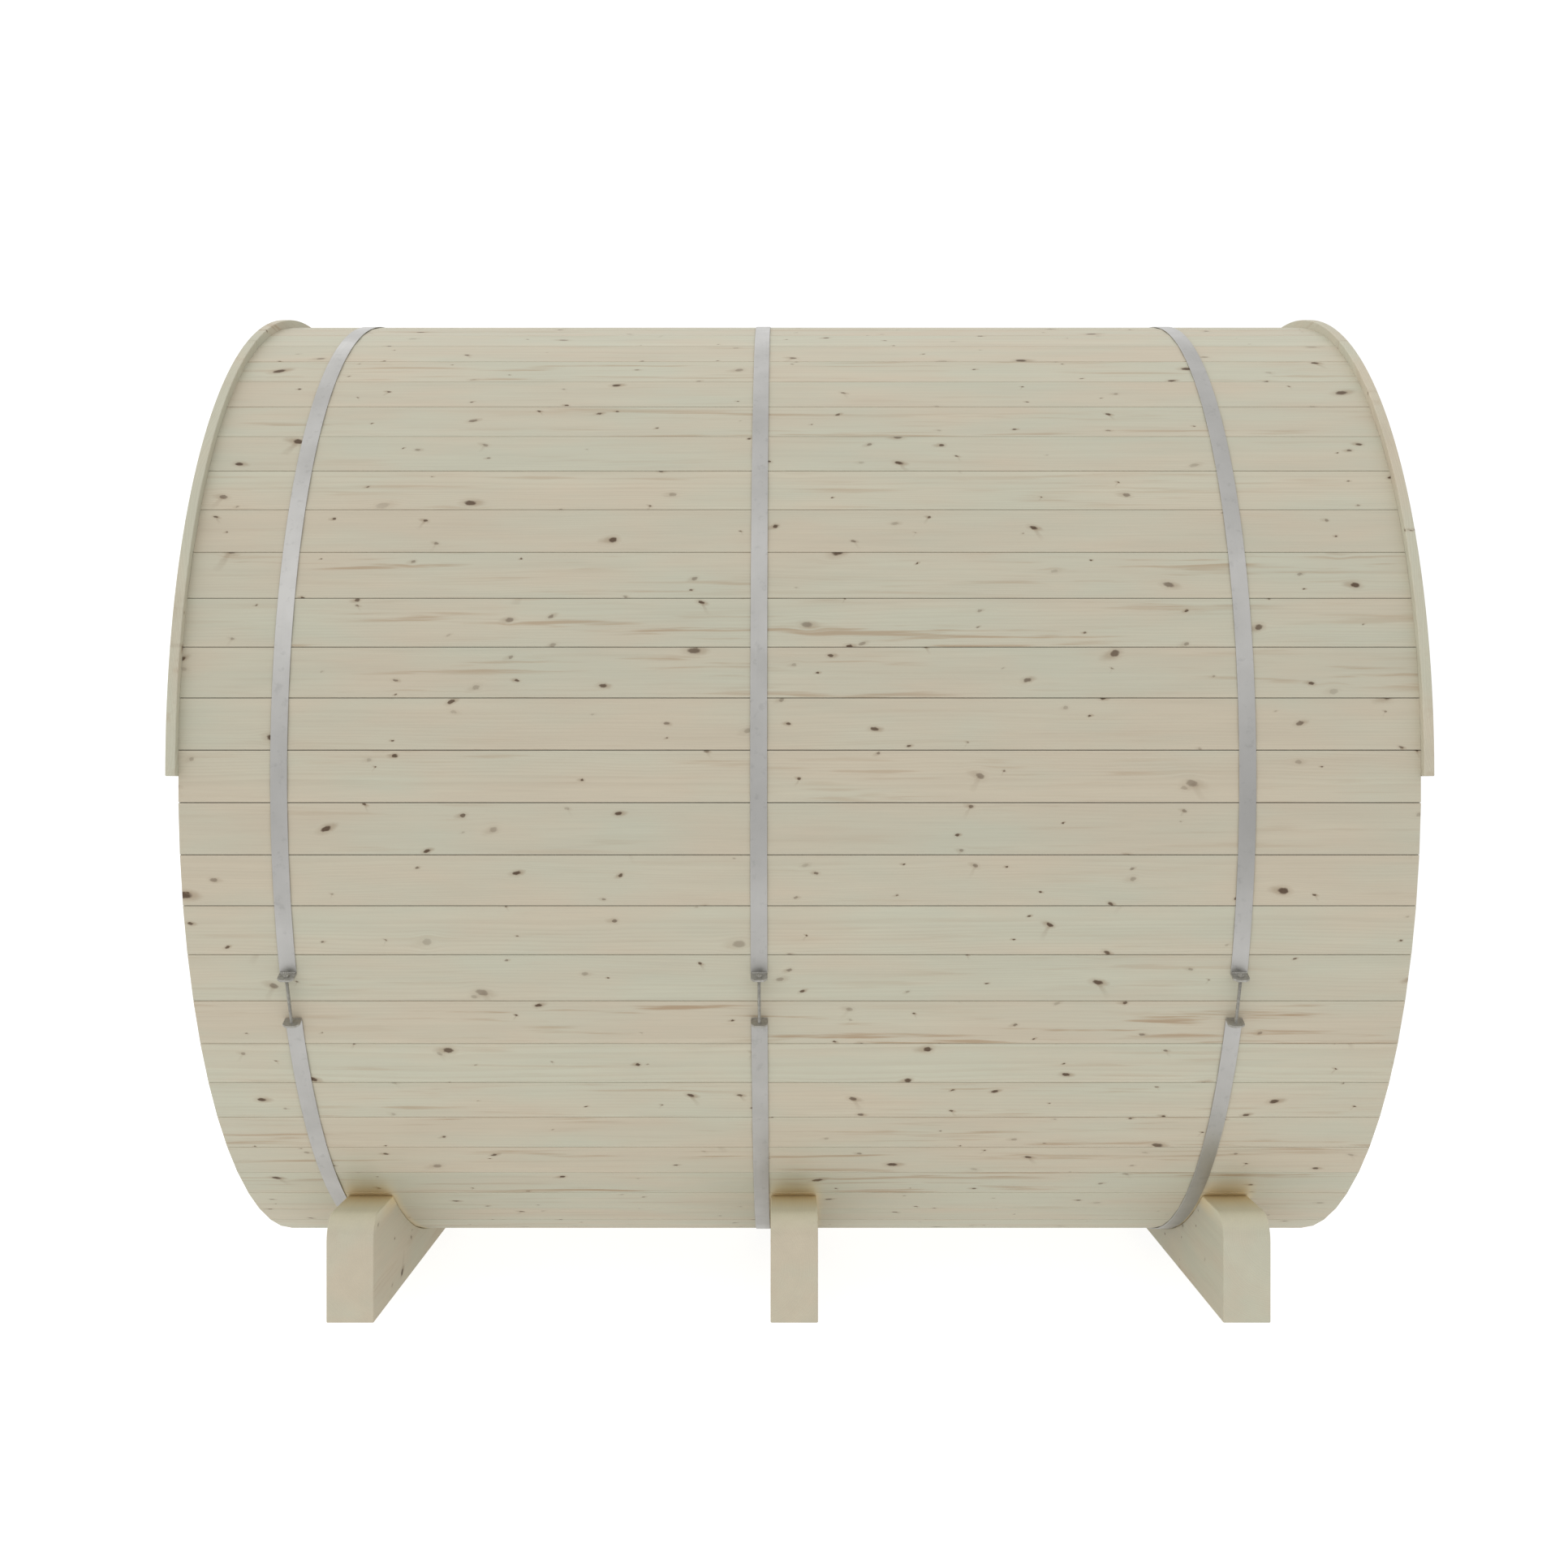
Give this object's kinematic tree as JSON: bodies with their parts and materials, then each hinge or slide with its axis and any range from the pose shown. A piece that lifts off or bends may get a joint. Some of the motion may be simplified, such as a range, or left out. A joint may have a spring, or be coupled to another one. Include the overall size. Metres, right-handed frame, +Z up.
{
  "type": "barrel sauna",
  "caption": "Barrel sauna: a horizontal cask of softwood staves with plank end walls and a door, held by steel hoops on timber cradles.",
  "frame": {"origin": "on the floor under the middle of the barrel", "axes": "+X along the barrel towards the end with the door, +Z up, -Y the side with the hoop tensioners"},
  "size_m": [2.22, 2.034, 2.0529],
  "materials": {
    "stave_wood": "planed untreated spruce, matt",
    "trim_wood": "planed untreated spruce, matt",
    "wall_wood": "planed untreated spruce boards, matt",
    "door_wood": "planed untreated spruce boards, matt",
    "handle_wood": "planed and rounded softwood, satin",
    "cradle_wood": "planed untreated spruce, matt",
    "hoop_steel": "satin stainless strip",
    "dark_steel": "dull zinc-plated steel"
  },
  "bodies": {
    "root": {"stave_panel_01": "stave_wood", "stave_panel_02": "stave_wood", "stave_panel_03": "stave_wood", "stave_panel_04": "stave_wood", "stave_panel_05": "stave_wood", "stave_panel_06": "stave_wood", "stave_panel_07": "stave_wood", "stave_panel_08": "stave_wood", "stave_panel_09": "stave_wood", "stave_panel_10": "stave_wood", "stave_panel_11": "stave_wood", "stave_panel_12": "stave_wood", "stave_panel_13": "stave_wood", "stave_panel_14": "stave_wood", "stave_panel_15": "stave_wood", "stave_panel_16": "stave_wood", "stave_panel_17": "stave_wood", "front_trim_1": "trim_wood", "front_trim_2": "trim_wood", "front_trim_3": "trim_wood", "back_trim_1": "trim_wood", "back_trim_2": "trim_wood", "back_trim_3": "trim_wood", "front_wall_left": "wall_wood", "front_wall_right": "wall_wood", "front_wall_over_door": "wall_wood", "front_wall_under_door": "wall_wood", "back_wall": "wall_wood", "door_frame": "door_wood", "door_stops": "door_wood", "door_leaf": "door_wood", "door_hinges": "dark_steel", "door_handle": "handle_wood", "hoop_left": "hoop_steel", "hoop_middle": "hoop_steel", "hoop_right": "hoop_steel", "hoop_lugs_left": "dark_steel", "hoop_lugs_middle": "dark_steel", "hoop_lugs_right": "dark_steel", "tension_rod_left": "dark_steel", "tension_rod_middle": "dark_steel", "tension_rod_right": "dark_steel", "cradle_left": "cradle_wood", "cradle_middle": "cradle_wood", "cradle_right": "cradle_wood"}
  },
  "joints": []
}
